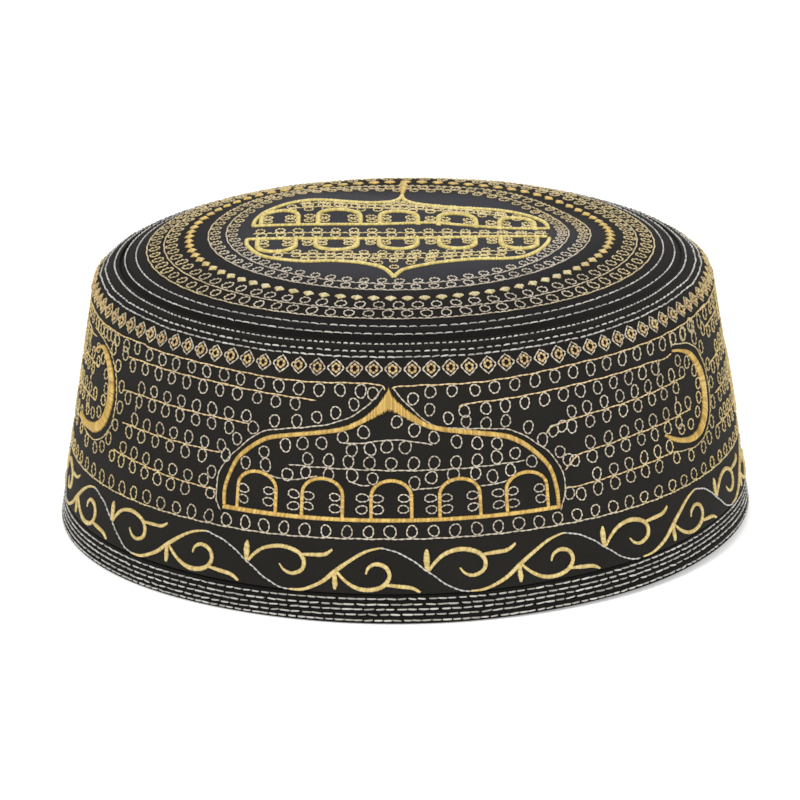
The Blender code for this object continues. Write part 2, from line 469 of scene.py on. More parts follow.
class Nodes:
    """A material's node tree, with short calls for adding and linking nodes."""

    def __init__(self, name):
        self.material = bpy.data.materials.new(name)
        self.material.use_nodes = True
        self.tree = self.material.node_tree
        self.shader = self.tree.nodes["Principled BSDF"]

    def add(self, kind, inputs=None, **settings):
        node = self.tree.nodes.new(kind)
        for key, value in settings.items():
            setattr(node, key, value)
        for key, value in (inputs or {}).items():
            if isinstance(value, bpy.types.NodeSocket):
                self.tree.links.new(value, node.inputs[key])
            else:
                node.inputs[key].default_value = value
        return node

    def math(self, operation, first, second=0.0):
        return self.add("ShaderNodeMath", {0: first, 1: second}, operation=operation).outputs[0]

    def distance(self, x, y):
        """How far a place is from where x and y are 0."""
        squares = [self.math("MULTIPLY", part, part) for part in (x, y)]
        return self.math("SQRT", self.math("ADD", *squares))

    def noise(self, place, scale, detail):
        texture = self.add("ShaderNodeTexNoise", {"Vector": place, "Scale": scale, "Detail": detail})
        return texture.outputs["Fac"]

    def blend(self, share, first, second):
        """A colour between two, by share."""
        node = self.add("ShaderNodeMix", {0: share, 6: first, 7: second}, data_type="RGBA")
        return node.outputs[2]

    def ramp(self, value, start, end, top):
        """A smooth rise from 0 to top while value goes from start to end."""
        limits = {"Value": value, "From Min": start, "From Max": end, "To Min": 0.0, "To Max": top}
        return self.add("ShaderNodeMapRange", limits, interpolation_type="SMOOTHSTEP").outputs[0]

    def set(self, **values):
        """Set or link the shader's own sockets: Base_Color stands for Base Color."""
        for key, value in values.items():
            socket = self.shader.inputs[key.replace("_", " ")]
            if isinstance(value, bpy.types.NodeSocket):
                self.tree.links.new(value, socket)
            else:
                socket.default_value = value


def cloth(name, dark, light, painted_shade=None):
    """Stiffened cotton: a fine plain weave with slubs, a soft mottle and a little fluff in its sheen.

    The fourth argument gives painted shade: where the cloth is painted deep black, among its close stitches,
    towards the crown's edge and over the shoulder where it turns from the light. It is given by distance
    from the axis for the crown and by height for the band, as (by, start, end, share).
    """
    nodes = Nodes(name)
    chart = nodes.add("ShaderNodeUVMap", uv_map="chart").outputs[0]
    ribs = {"Vector": chart, "Scale": 6.2, "Distortion": 0.6}
    warp = nodes.add("ShaderNodeTexWave", ribs, bands_direction="X").outputs["Fac"]
    weft = nodes.add("ShaderNodeTexWave", ribs, bands_direction="Y").outputs["Fac"]
    weave = nodes.math("MAXIMUM", warp, weft)
    place = nodes.add("ShaderNodeTexCoord").outputs["Object"]
    mottle = nodes.noise(place, 60.0, 4.0)
    fluff = nodes.noise(place, 1900.0, 2.0)
    share = nodes.math("MULTIPLY", nodes.math("ADD", mottle, fluff), nodes.math("ADD", weave, 0.25))
    colour = nodes.blend(nodes.math("MULTIPLY", share, 0.6), dark, light)
    # Painted shade: the colour is blended towards deep black by distance from the axis, or by height.
    if painted_shade:
        by, start, end, most = painted_shade
        x, y, height = nodes.add("ShaderNodeSeparateXYZ", {0: place}).outputs
        along = nodes.distance(x, y) if by == "radius" else height
        colour = nodes.blend(nodes.ramp(along, start, end, most), colour, PAINTED_SHADE_BLACK)
    relief = nodes.math("ADD", nodes.math("MULTIPLY", weave, 0.6), fluff)
    bump = nodes.add("ShaderNodeBump", {"Height": relief, "Strength": 0.45, "Distance": 0.00012})
    nodes.set(Base_Color=colour, Normal=bump.outputs[0], Roughness=0.85, Specular_IOR_Level=0.09)
    nodes.set(Sheen_Weight=0.02, Sheen_Roughness=0.5)
    return nodes.material


def thread(name, deep, bright, roughness=0.42, painted_sheen=None):
    """Twisted embroidery thread: each stitch has its own shade, with fine filaments across the light.

    The last argument is painted sheen. It gives a second bright colour that the thread is painted with away
    from the front of the cap, standing in for how its sheen changes with the angle to the light and the
    view. It also gives the two distances from the sheen centre between which the colour changes.
    """
    nodes = Nodes(name)
    shade = nodes.add("ShaderNodeAttribute", attribute_name="shade").outputs["Fac"]
    place = nodes.add("ShaderNodeTexCoord").outputs["Object"]
    patches = nodes.noise(place, 120.0, 2.0)
    filaments = nodes.noise(place, 5200.0, 1.0)
    share = nodes.math("ADD", nodes.math("MULTIPLY", shade, 0.75), nodes.math("MULTIPLY", patches, 0.3))
    # Painted sheen: the thread turns towards its golden colour with distance from the front of the cap.
    if painted_sheen:
        second, start, end = painted_sheen
        x, y, _ = nodes.add("ShaderNodeSeparateXYZ", {0: place}).outputs
        away = nodes.distance(x, nodes.math("SUBTRACT", y, SHEEN_CENTRE))
        bright = nodes.blend(nodes.ramp(away, start, end, 1.0), bright, second)
    bump = nodes.add("ShaderNodeBump", {"Height": filaments, "Strength": 0.5, "Distance": 0.00005})
    rough = nodes.math("ADD", nodes.math("MULTIPLY", filaments, 0.2), roughness - 0.1)
    nodes.set(Base_Color=nodes.blend(share, deep, bright), Normal=bump.outputs[0], Roughness=rough)
    nodes.set(Sheen_Weight=0.1, Specular_IOR_Level=0.5)
    return nodes.material


# Painted shade: the brownish near-black that the crown and band cloth are painted towards the crown's edge
# and over the shoulder.
PAINTED_SHADE_BLACK = (0.0042, 0.0030, 0.0015, 1)
# Painted sheen: threads that use these are painted paler at the front and more golden towards the sides,
# standing in for their angle-dependent sheen.
SHEEN_CENTRE = -0.025  # y in metres of the place where the threads are palest
CROWN_TURN = (0.042, 0.064)  # distances from there, where the threads start and end turning golden
BAND_TURN = (0.068, 0.085)

# The crown's cloth is lighter and bluer than the band's. This is partly painted light, because the crown
# faces the light from above, and partly its own tone. Painted shade darkens it from 40 to 60 mm out.
CROWN_CLOTH = cloth(
    "crown_cloth_weave", (0.016, 0.0155, 0.019, 1), (0.040, 0.039, 0.047, 1), ("radius", 0.040, 0.060, 0.88)
)
# Painted shade: the band is painted darker over the shoulder, from 64 to 78 mm up.
BAND_CLOTH = cloth(
    "band_cloth_weave",
    (0.0072, 0.0066, 0.0055, 1),
    (0.0185, 0.0172, 0.0150, 1),
    ("height", 0.064, 0.078, 0.8),
)
HEM_CLOTH = cloth("hem_cloth_weave", (0.0024, 0.0022, 0.0020, 1), (0.0085, 0.0078, 0.0072, 1))
GOLD_SATIN = thread("gold_satin", (0.36, 0.18, 0.015, 1), (0.84, 0.58, 0.15, 1), roughness=0.38)
VINE_SATIN = thread("vine_gold_satin", (0.46, 0.31, 0.08, 1), (0.80, 0.64, 0.27, 1), roughness=0.40)
PALE_SATIN = thread("pale_gold_satin", (0.52, 0.38, 0.07, 1), (0.92, 0.77, 0.27, 1), roughness=0.38)
CHAIN_SATIN = thread(
    "chain_satin", (0.40, 0.30, 0.10, 1), (0.74, 0.65, 0.38, 1), painted_sheen=((0.80, 0.52, 0.09, 1), *CROWN_TURN)
)
CROWN_THREAD = thread(
    "crown_ring_thread",
    (0.20, 0.15, 0.09, 1),
    (0.66, 0.59, 0.48, 1),
    painted_sheen=((0.72, 0.57, 0.27, 1), *CROWN_TURN),
)
MOTIF_THREAD = thread("crown_motif_thread", (0.34, 0.24, 0.07, 1), (0.84, 0.70, 0.34, 1))
GOLD_THREAD = thread(
    "gold_thread", (0.29, 0.18, 0.07, 1), (0.78, 0.59, 0.33, 1), painted_sheen=((0.84, 0.61, 0.22, 1), *BAND_TURN)
)
RING_THREAD = thread("diamond_ring_thread", (0.26, 0.14, 0.05, 1), (0.66, 0.49, 0.22, 1))
BEIGE_THREAD = thread(
    "beige_thread", (0.19, 0.15, 0.11, 1), (0.66, 0.59, 0.47, 1), painted_sheen=((0.76, 0.58, 0.22, 1), *BAND_TURN)
)
SILVER_THREAD = thread("silver_thread", (0.16, 0.15, 0.13, 1), (0.62, 0.595, 0.55, 1))


# The cloth


def side_rows(climb, depth):
    """Rows of (radius, height, climb) this far under the side's skin."""
    climb = np.atleast_1d(np.asarray(climb, float))
    radius, height, out_radius, out_height = skin_at(climb)
    return np.stack([radius - depth * out_radius, height - depth * out_height, climb], -1)


def pressed_rows(climb):
    """The same on the cloth's face, with the grooves of the sewn rows."""
    return side_rows(climb, pressed_in(climb, SIDE_GROOVES))


def crown_rows(radius, depth):
    """Rows of (radius, height, climb) this far under the crown. At depth 0 turned presses the grooves in."""
    radius = np.atleast_1d(np.asarray(radius, float))
    tilt = np.arctan(dome_slope(radius))
    height = dome_height(radius) - depth * np.cos(tilt)
    return np.stack([radius - depth * np.sin(tilt), height, 0 * radius], -1)


def turned(name, section, segments, material, replaced, crown=False):
    """A closed piece turned about Z from rows of (radius, height, climb), with the outside on their left.

    A radius of 0 makes one vertex on the axis.
    """
    section = np.concatenate(section)
    step = TAU / segments
    turn = -math.pi + step * np.arange(segments)
    radius, height, climb = (column[:, None] for column in section.T)
    if crown:
        x, y = radius * np.sin(turn), -radius * np.cos(turn)
        face = height >= dome_height(radius) - 1e-9
        grooves = pressed_in(np.hypot(x, y) + crown_lean(x, y), CROWN_GROOVES) * face
        points = np.stack([x, y, height - sunk_by(x, y) - grooves], -1)
    else:
        _, _, out_radius, out_height = skin_at(climb)
        points, _ = around(turn * CHART_RADIUS, climb, radius, height, out_radius, out_height)
    points = points.reshape(-1, 3)
    index = np.arange(len(points)).reshape(-1, segments)
    on_axis = section[:, 0] == 0
    index[on_axis] = index[on_axis, :1]
    faces = [list(dict.fromkeys(quad)) for quad in quads(index, np.roll(index, -1, axis=0)).tolist()]
    faces = [face for face in faces if len(face) > 2]
    corners = [corner for face in faces for corner in face]
    if crown:
        charts = points[corners, :2]
    else:
        across = CHART_RADIUS * (turn[0] + step * (np.arange(segments)[:, None] + [0, 0, 1, 1]))
        below = np.roll(climb, -1, axis=0)
        climbs = np.stack([climb, below, below, climb], -1)
        charts = np.stack(np.broadcast_arrays(across, climbs), -1)
    number = {corner: place for place, corner in enumerate(np.unique(corners).tolist())}
    faces = [[number[corner] for corner in face] for face in faces]
    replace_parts(piece(name, points[list(number)], faces, material, corner_charts=charts), replaced)


def crown_cloth():
    """The crown, its edge tucked under the band's fold, and its underside."""
    edge = FOLD_RADIUS - LAYER_GAP
    under = FOLD_THICKNESS + LAYER_GAP
    coarse = np.arange(0, 70.0, 1.8)
    grooved = np.arange(70.2, edge - TUCK_RUN - 1.2, 0.25)  # fine enough for the plain rows' grooves
    hidden = np.linspace(FOLD_CLIMB + LAYER_GAP, TUCK_CLIMB, 6)
    section = [
        crown_rows(np.concatenate([coarse, grooved]), 0.0),
        side_rows(hidden, under),
        side_rows(hidden[::-1], under + CROWN_THICKNESS),
        crown_rows(np.append(np.arange(74.0, 0.0, -4.0), 0.0), CROWN_THICKNESS),
    ]
    turned("crown_cloth", section, 360, CROWN_CLOTH, "crown_panel", crown=True)


def band_cloth():
    """The band from its rounded fold down to the tongue that the hem holds, and back up its inside."""
    bend = np.linspace(0, math.pi, 9)
    half = FOLD_THICKNESS / 2
    fold = side_rows(FOLD_CLIMB - half + half * np.sin(bend), half - half * np.cos(bend))[::-1]
    rabbet = TUCK_CLIMB - LAYER_GAP
    foot = climb_of_height(HEM_TOP)
    fine = np.arange(FOLD_CLIMB - 0.6, SHOULDER_ROWS[-1] - 1.6, -0.2)
    coarse = np.arange(fine[-1] - 0.8, foot, -1.6)
    tongue_out = FOLD_THICKNESS + LAYER_GAP
    tongue_foot = climb_of_height(TONGUE_FOOT)
    section = [
        fold,
        pressed_rows(np.concatenate([fine, coarse, [foot]])),
        side_rows([foot, tongue_foot], tongue_out),
        side_rows([tongue_foot, foot + LAYER_GAP], tongue_out + TONGUE_THICKNESS),
        side_rows(np.append(np.arange(foot + LAYER_GAP, rabbet, 4.0), rabbet), BAND_THICKNESS),
        side_rows(np.linspace(rabbet, FOLD_CLIMB - 1.0, 5), FOLD_THICKNESS),
    ]
    turned("band_cloth", section, 400, BAND_CLOTH, "side_band")


def hem_cloth():
    """The hem: ribs between its sewn rows, a rounded foot, and the slot that holds the band's tongue."""
    top = climb_of_height(HEM_TOP - LAYER_GAP)
    low = climb_of_height(HEM_ROUND)
    turn = np.linspace(0, math.pi / 2, 7)
    outer = wall_radius(HEM_ROUND)
    inner = wall_radius(HEM_ROUND) - HEM_THICKNESS / math.cos(WALL_FLARE)
    foot = [(outer - HEM_ROUND * (1 - math.cos(t)), HEM_ROUND * (1 - math.sin(t)), low) for t in turn[1:]]
    foot += [
        (inner + HEM_ROUND * (1 - math.sin(t)), HEM_ROUND * (1 - math.cos(t)), low) for t in turn[::-1]
    ]
    slot_foot = climb_of_height(TONGUE_FOOT - LAYER_GAP)
    section = [
        side_rows([top, top - 0.1], 0.35)[:1],
        side_rows(top - 0.1, 0.1),
        pressed_rows(np.arange(top - 0.3, low, -0.13)),
        np.array(foot),
        side_rows(np.linspace(low + 1, top, 4), HEM_THICKNESS),
        side_rows([top, slot_foot], HEM_THICKNESS - FOLD_THICKNESS),
        side_rows([slot_foot, top], FOLD_THICKNESS),
    ]
    turned("hem_cloth", section, 400, HEM_CLOTH, "hem_band")


# Shapes that the motifs share

Arch = namedtuple("Arch", "left right")


def arch(place, foot, spring, top):
    """The outline of an arch, from its left foot over the top to its right foot."""
    middle, half = (place.left + place.right) / 2, (place.right - place.left) / 2
    turn = np.linspace(math.pi, 0, 15)
    bow = [(middle + half * math.cos(t), spring + (top - spring) * math.sin(t)) for t in turn]
    return resampled(np.array([(place.left, foot), *bow, (place.right, foot)]), 0.5)


def widened(rows, value):
    """The rows with one more column, the same in each: a width for satin, or the climb of a level row."""
    return np.column_stack([rows, np.full(len(rows), value)])


def leg_ovals(arches, low, high):
    """Pairs of small ovals, one over the other: in both legs of each arch, and left of all but the first."""
    in_left, in_right, beyond = 1.7, 2.1, 2.3  # how far from the arch's line
    across = [leg for a in arches for leg in (a.left + in_left, a.right - in_right)]
    across += [a.left - beyond for a in arches[1:]]
    return [(a, height) for a in across for height in (low, high)]


def beside(line, first, last, pitch, side):
    """Spots over or under a line, evenly spaced from first to last, with the line's angle at each."""
    reach = 0.8  # how far to either side the angle is taken
    at = np.linspace(first, last, max(1, round((last - first) / pitch)) + 1)
    rise = np.interp(at + reach, *line.T) - np.interp(at - reach, *line.T)
    return np.column_stack([at, np.interp(at, *line.T) + side]), np.arctan(rise / (2 * reach))


# The crown's embroidery

# The radii are those at the front and the back, and left and right are how much more they are at the sides
Ring = namedtuple("Ring", "line loops left right pitch across upright")
LOOP_RINGS = (
    Ring(50.1, 48.3, -1.3, -4.0, 4.8, 1.25, 1.35),
    Ring(54.1, 52.2, -0.3, -2.0, 4.8, 1.25, 1.35),
    Ring(65.1, 62.9, 1.0, -0.2, 5.2, 1.42, 1.55),
    Ring(69.6, 67.4, 1.3, 0.1, 5.2, 1.42, 1.55),
)
CHAIN_RADIUS = 59.0
CHAIN_LEFT, CHAIN_RIGHT = 0.2, -1.4
CHAIN_PITCH = 4.6
LOZENGE_HALF, LOZENGE_WIDTH = 1.6, 3.1


def on_ring(turn, radius, left, right):
    """Spots on a ring that isn't quite round: turn runs from +x towards the back."""
    radius = radius + left * np.maximum(-np.cos(turn), 0) ** 2 + right * np.maximum(np.cos(turn), 0) ** 2
    return np.stack([radius * np.cos(turn), radius * np.sin(turn)], -1)


def circle(radius, left=0.0, right=0.0):
    """A closed ring on the crown's chart, from the back round to the back."""
    turn = np.linspace(0, TAU, round(2 * TAU * radius)) + math.pi / 2
    return on_ring(turn, radius, left, right)


def leaning_circle(radius):
    """A circle near the crown's edge, drawn in on the right as the band is."""
    path = circle(radius)
    return path * (1 - crown_lean(path[:, 0], path[:, 1]) / radius)[:, None]


def crown_rings():
    """Four rings of loops hanging inwards from a line, and two plain sewn rings."""
    sewing = Needlework("crown_ring_stitches", 1)
    for ring in LOOP_RINGS:
        sewing.line(on_crown, circle(ring.line, ring.left, ring.right), half=0.23, closed=True)
        count = round(TAU * ring.loops / ring.pitch)
        turn = TAU * np.arange(count) / count + 0.02 * ring.line
        spots = on_ring(turn, ring.loops, ring.left, ring.right)
        sewing.loops(on_crown, spots, turn + math.pi / 2, ring.across, ring.upright, half=0.22)
    sewing.finish(CROWN_THREAD)
    plain = Needlework("crown_plain_rows", 2)
    for radius in CROWN_PLAIN_ROWS:
        plain.dashes(on_crown, leaning_circle(radius), half=0.23, stitch=2.7, share=0.93)
    plain.finish(SILVER_THREAD)


def crown_chain():
    """A ring of small satin lozenges, and the flame on the rear mosque's tip, which crosses the ring."""
    sewing = Needlework("crown_chain", 3)
    count = round(TAU * CHAIN_RADIUS / CHAIN_PITCH)
    along = np.linspace(-LOZENGE_HALF, LOZENGE_HALF, 9)
    width = 0.35 + (LOZENGE_WIDTH - 0.35) * (1 - np.abs(along) / LOZENGE_HALF)
    for middle in TAU * np.arange(count) / count:
        path = on_ring(middle + along / CHAIN_RADIUS, CHAIN_RADIUS, CHAIN_LEFT, CHAIN_RIGHT)
        sewing.satin(on_crown, np.column_stack([path, width]), height=0.6, lay=0.4, slant=0.0)
    sewing.satin(on_crown, smooth(FLAME), height=0.8)
    sewing.finish(CHAIN_SATIN)


# A mosque on the crown, in plan: its roof from the left foot and from the right foot to the tip, its base
# line, its arches with their foot, spring and top, the rows of small loops under the roof, and single loops
CrownMosque = namedtuple("CrownMosque", "roofs base arches foot spring top rows singles")
FRONT_MOSQUE = CrownMosque(
    roofs=(
        [(-43, -8), (-42.5, -14), (-38, -24), (-28, -29.8), (-20, -30.5), (-14, -32), (-9, -34.5),
         (-5, -38.5), (-2.5, -45)],
        [(40.5, -9), (39.5, -15), (37, -22), (33, -27.5), (28, -29.8), (20, -30.5), (10, -33.5), (5, -36),
         (0, -39.5), (-2.5, -45)],
    ),
    base=[(-43, -7.5), (-25, -9), (-5, -9.5), (10, -9), (25, -8), (40, -7)],
    arches=(Arch(-40, -29.5), Arch(-24, -12.5), Arch(-6.5, 4), Arch(10, 20), Arch(27, 37)),
    foot=-8.6,
    spring=-15.0,
    top=-20.6,
    rows=(
        ([(-35, -21.8), (-25, -23.6), (-12, -25), (0, -25.4), (12, -25), (24, -23.4), (33, -21.6)], -34, 32),
        ([(-28, -26.6), (-18, -27.6), (-8, -29.2), (0, -29.8), (9, -29), (18, -27.4), (28, -26.4)], -27, 27),
    ),
    singles=[(-2.5, -37), (2, -34), (7, -32), (-6.5, -33.2), (-11, -31)],
)
REAR_MOSQUE = CrownMosque(
    roofs=(
        [(-41.5, 5), (-41, 10.5), (-39, 16.5), (-36, 20.7), (-32, 24), (-27, 26), (-22, 26.4), (-16, 25.6),
         (-10, 25.5), (-6, 26.6), (-2.5, 29), (-0.8, 34.5), (0, 42)],
        [(40.5, 6.8), (40.3, 11.5), (39, 15.8), (36, 20.2), (32, 23.4), (27, 24.9), (22, 24.8), (15, 24.2),
         (9, 24.9), (4, 26.6), (1.5, 29.5), (0.4, 34.5), (0, 42)],
    ),
    base=[(-41.5, 5), (-30, 4.6), (-10, 4.8), (-2, 5.6), (8, 7.4), (14, 7), (25, 6.6), (40, 6.8)],
    arches=(Arch(-39.3, -29), Arch(-23.5, -11.7), Arch(-6.3, 4.3), Arch(10, 20.5), Arch(27, 36.8)),
    foot=5.6,
    spring=12.4,
    top=17.6,
    rows=(
        ([(-34, 18.6), (-24, 19.8), (-12, 20), (0, 20.4), (12, 19.8), (24, 19.4), (34, 18)], -31, 32),
        ([(-29, 22.8), (-20, 23.6), (-10, 23), (0, 24.4), (10, 22.8), (20, 22.6), (29, 21.8)], -27, 28),
    ),
    singles=[(-3.5, 26.6), (3.2, 25.8), (-0.6, 27.8)],
)
FLAME = [(0, 41, 0.8), (0.1, 45, 1.2), (0.3, 50, 2.0), (0.4, 55, 2.9), (0.5, 58.5, 0.8)]


def crown_mosque(satin, sewing, shape):
    """One of the crown's two mosques: satin roof, base and arches, with rows of small loops inside."""
    for roof in shape.roofs:
        satin.satin(on_crown, widened(smooth(roof), 1.35), height=0.75, upright=0.6)
    satin.satin(on_crown, widened(smooth(shape.base), 1.2), height=0.7)
    for place in shape.arches:
        satin.satin(on_crown, widened(arch(place, shape.foot, shape.spring, shape.top), 1.5), height=0.85)
    reach = shape.spring - shape.foot
    ovals = leg_ovals(shape.arches, shape.foot + 0.4 * reach, shape.foot + 0.9 * reach)
    sewing.loops(on_crown, ovals, across=1.4, upright=1.25, half=0.24)
    for points, first, last in shape.rows:
        line = smooth(points)
        sewing.line(on_crown, line, half=0.21)
        for side in (-1.7, 1.7):
            spots, angle = beside(line, first, last, 4.7, side)
            sewing.loops(on_crown, spots, angle, across=1.2, upright=1.35, half=0.21)
    sewing.loops(on_crown, shape.singles, across=1.2, upright=1.35, half=0.21)


def crown_motif():
    """Two mosques base to base in the middle of the crown, with a double row of loops between them."""
    satin = Needlework("crown_motif_satin", 4)
    sewing = Needlework("crown_motif_stitches", 5)
    for shape in (FRONT_MOSQUE, REAR_MOSQUE):
        crown_mosque(satin, sewing, shape)
    line = smooth([(-41.5, -2.8), (-20, -3.4), (0, -3.6), (20, -3.0), (40.5, -2.6)])
    sewing.line(on_crown, line, half=0.22)
    for side in (-2.2, 2.2):
        spots, angle = beside(line, -39, 38, 5.2, side)
        sewing.loops(on_crown, spots, angle, across=1.3, upright=1.75, half=0.22)
    satin.finish(PALE_SATIN)
    sewing.finish(MOTIF_THREAD)


# The band's embroidery. A mosque is drawn about its middle, from its base line up

BASE = 24.6  # climb of the mosques' base line
MOSQUES = (-4.3, 191.0, 368.0)  # across, of their middles
CRESCENTS = (95.0, 279.5, 464.2)
DIAMOND_CLIMB = 65.1
DIAMONDS = 106
BASE_ROW_CLIMB = 19.6
BASE_ROW_LOOPS = 101
ROW_TO_LOOP = 1.95

ROOFS = (  # distance, height and width of the satin
    [(-46.9, 0.3, 1.1), (-46.9, 5.4, 1.1), (-44.2, 12.4, 1.2), (-40.7, 16.2, 1.3), (-35.7, 19.6, 1.3),
     (-30.7, 21.1, 1.3), (-20.7, 22.8, 1.3), (-14, 24, 1.35), (-9.8, 25.3, 1.4)],
    [(46.3, 0.3, 1.1), (46.1, 5.4, 1.2), (44.3, 11.4, 1.3), (39.3, 16.9, 1.4), (34.3, 20.2, 1.5),
     (29.3, 21.7, 1.5), (19.3, 23.4, 1.5), (14, 24.3, 1.5), (10, 25.4, 1.5)],
)
PEAK = [  # distance, height and how tall the vertical lays are
    (-11.5, 24.7, 1.6), (-7.7, 26.5, 1.7), (-5.7, 27.75, 2.2), (-3.7, 29.15, 3), (-1.7, 30.9, 4.1),
    (-0.8, 31.8, 5.2), (-0.2, 32.5, 5.9), (0.4, 31.8, 5.2), (1.3, 31, 4.2), (3.3, 29.5, 3.3),
    (5.3, 28.15, 2.8), (7.3, 26.95, 2.2), (9.3, 25.85, 1.8), (12, 24.8, 1.7),
]
OUTLINES = (
    [(-48, -1.3), (-49.5, 1.4), (-49.6, 6.4), (-48.7, 9.9), (-45.7, 13.9), (-38.7, 20.2), (-33.7, 22.4),
     (-23.7, 24.1), (-17.7, 25.2), (-11.7, 27.2), (-7.2, 29.9), (-3.7, 33.2), (-1.8, 35.6)],
    [(46.8, -1.1), (48.6, 4.4), (48.3, 8.9), (45.3, 14.4), (40.3, 18.7), (35.3, 21.9), (30.3, 23.2),
     (18.3, 24.2), (13.3, 24.9), (10.3, 26.4), (6.3, 29.9), (3.3, 32.9), (1, 35.6)],
)
LOOPS_OUTSIDE = [
    (-9.7, 30.9), (-14.9, 28.6), (-20.4, 27), (-26.4, 25.6), (-32.9, 25), (-39.2, 22.2), (-44.2, 18.7),
    (-51.7, 8.4), (-47.6, 13.8), (-51.7, 2.5), (6.6, 32.7), (11.1, 29.7), (16.1, 27.4), (21.5, 25.9),
    (26.8, 24.9), (32.6, 25.1), (39, 22.8), (43, 18.9), (47.8, 14.7), (52.3, 11.7), (49.9, 3.2), (53.3, 2.4),
]
LOOPS_INSIDE = [
    (-41, 12.7), (-35, 12.6), (-35.4, 16.2), (-29.2, 18.7), (-24.1, 19.6), (-18.7, 20.2), (-13, 22.1),
    (-7, 23.7), (2, 26.6), (7, 24.2), (12.3, 21.8), (18.5, 20.6), (24.3, 19.9), (29.6, 19.2), (34.6, 16.2),
    (39.3, 13.4),
]
BAND_ARCHES = (Arch(-42.9, -31.4), Arch(-23.9, -12.7), Arch(-5, 5.8), Arch(13.3, 24.3), Arch(31.6, 43.3))
BAND_SPRING, BAND_TOP = 6.4, 10.7  # of the arches, over the base line
UPPER_LINE = [(-12.2, 20.4), (-6.7, 20.8), (-1.7, 21.5), (2.3, 21.6), (6.3, 21.2), (11.8, 20.1)]
MIDDLE_LINE = [(-28.2, 13.7), (-10.7, 13.6), (4.3, 13.4), (19.3, 13.4), (31.3, 13.7), (37.3, 13.9)]
UNDER_MIDDLE = [
    (-28.2, 11.2), (-23, 12.1), (-16.7, 12), (-10.4, 11.9), (-4.5, 11.2), (6.7, 9.9), (11.3, 11.2),
    (17.3, 11.9), (23.3, 11.9), (28, 10.6), (33.2, 11.9),
]
VALLEYS = (  # the lines that dip between two arches
    [(-33.7, 10.4), (-30.7, 9.7), (-25.7, 9.9), (-19.7, 11.3)],
    [(-10.7, 10.2), (-7.7, 9.4), (-5.2, 9.4)],
    [(5.8, 8.2), (9.3, 8.4), (13.3, 8.8), (16.3, 9.7)],
    [(24.3, 8.4), (28.3, 8.4), (32.3, 9.2)],
)


def moved(across, climb=0.0):
    """A place function for the side, with its origin here."""

    def spot(x, y, lift):
        return on_side(across + x, climb + y, lift)

    return spot


def mosque(satin, sewing, middle):
    """A mosque on the band: satin roof, base and arches, a thin outline, and lines and loops."""
    spot = moved(middle, BASE)
    for roof, outline in zip(ROOFS, OUTLINES):
        satin.satin(spot, smooth(roof), height=0.8, slant=0.0, upright=0.75)
        sewing.line(spot, smooth(outline))
    satin.satin(spot, smooth(PEAK, 4), height=0.85, lay=0.5, plumb=True, rough=0.09)
    satin.satin(spot, [(-47.3, -0.2, 1.2), (0, 0.0, 1.2), (46.8, 0.0, 1.2)], height=0.6)
    for place in BAND_ARCHES:
        satin.satin(spot, widened(arch(place, 0.0, BAND_SPRING, BAND_TOP), 1.05), height=0.6)
    sewing.loops(spot, leg_ovals(BAND_ARCHES, 2.9, 5.9), across=1.55, upright=1.05)
    for points, side, first, last, pitch in (
        (UPPER_LINE, -1.8, -10.2, 4.3, 4.8),
        (MIDDLE_LINE, 1.95, -22.6, 29.5, 5.8),
    ):
        line = smooth(points)
        sewing.line(spot, line)
        sewing.loops(spot, *beside(line, first, last, pitch, side))
    for valley in VALLEYS:
        sewing.line(spot, smooth(valley))
    sewing.loops(spot, UNDER_MIDDLE + LOOPS_INSIDE + LOOPS_OUTSIDE)


# A crescent that opens to the left: across from its middle, climb, and the satin's width
CRESCENT = [
    (-4.2, 56.4, 0.7), (0, 55.5, 0.9), (5, 53.6, 1.6), (9, 50, 2.6), (11.3, 45.4, 3.6), (11.3, 40.3, 3.5),
    (9.3, 35.6, 3.5), (5, 32.2, 2.8), (0, 31.4, 2), (-5, 32.2, 1.6), (-9, 33.6, 1.4), (-13.2, 35.8, 0.8),
]
ROUND_CRESCENT = [  # the third one, which closes more at its top
    (-4.5, 52, 0.7), (-1.5, 54, 0.9), (3.4, 54.8, 1.4), (7.8, 52.1, 2.4), (10.7, 48, 3.4),
    (11.6, 43.5, 3.6), (10.7, 38.8, 3.5), (8, 35, 3.4), (3.5, 32.4, 3.1), (-1, 31.5, 2.6),
    (-6, 31.2, 2.0), (-11.5, 32.0, 0.9),
]
CRESCENT_OUTLINE = [
    (-4, 57.8), (2, 56.9), (6.8, 55.5), (10.3, 53.6), (13.2, 50.4), (14.8, 46.6), (15.3, 42), (14.5, 37),
    (12, 33.2), (8.5, 30.6), (5, 29.2), (0, 28.8), (-5, 29.4), (-11, 30.4),
]
LOOPS_ROUND_CRESCENT = [
    (2.9, 59.1), (8.2, 59.8), (10, 56.6), (14.2, 52.8), (17.4, 47.6), (17.7, 42.2), (16.7, 36.7),
    (13.5, 32.2), (10, 28.6), (5.6, 27.2), (-2.1, 27.2), (-9.4, 28.5),
]
LOOPS_IN_CRESCENT = [
    (-2.1, 53.4), (2.9, 52), (-0.5, 50.2), (6.8, 48.5), (8, 44.7), (7.2, 41), (5, 37.4), (0, 35.3),
    (-5, 35.3),
]


def crescent(satin, sewing, middle, shape):
    """A crescent in satin, with a thin outline and loops along both sides of it."""
    spot = moved(middle)
    satin.satin(spot, smooth(shape), height=0.9)
    sewing.line(spot, smooth(CRESCENT_OUTLINE))
    sewing.loops(spot, LOOPS_ROUND_CRESCENT)
    sewing.loops(spot, LOOPS_IN_CRESCENT, across=1.45, upright=1.5)


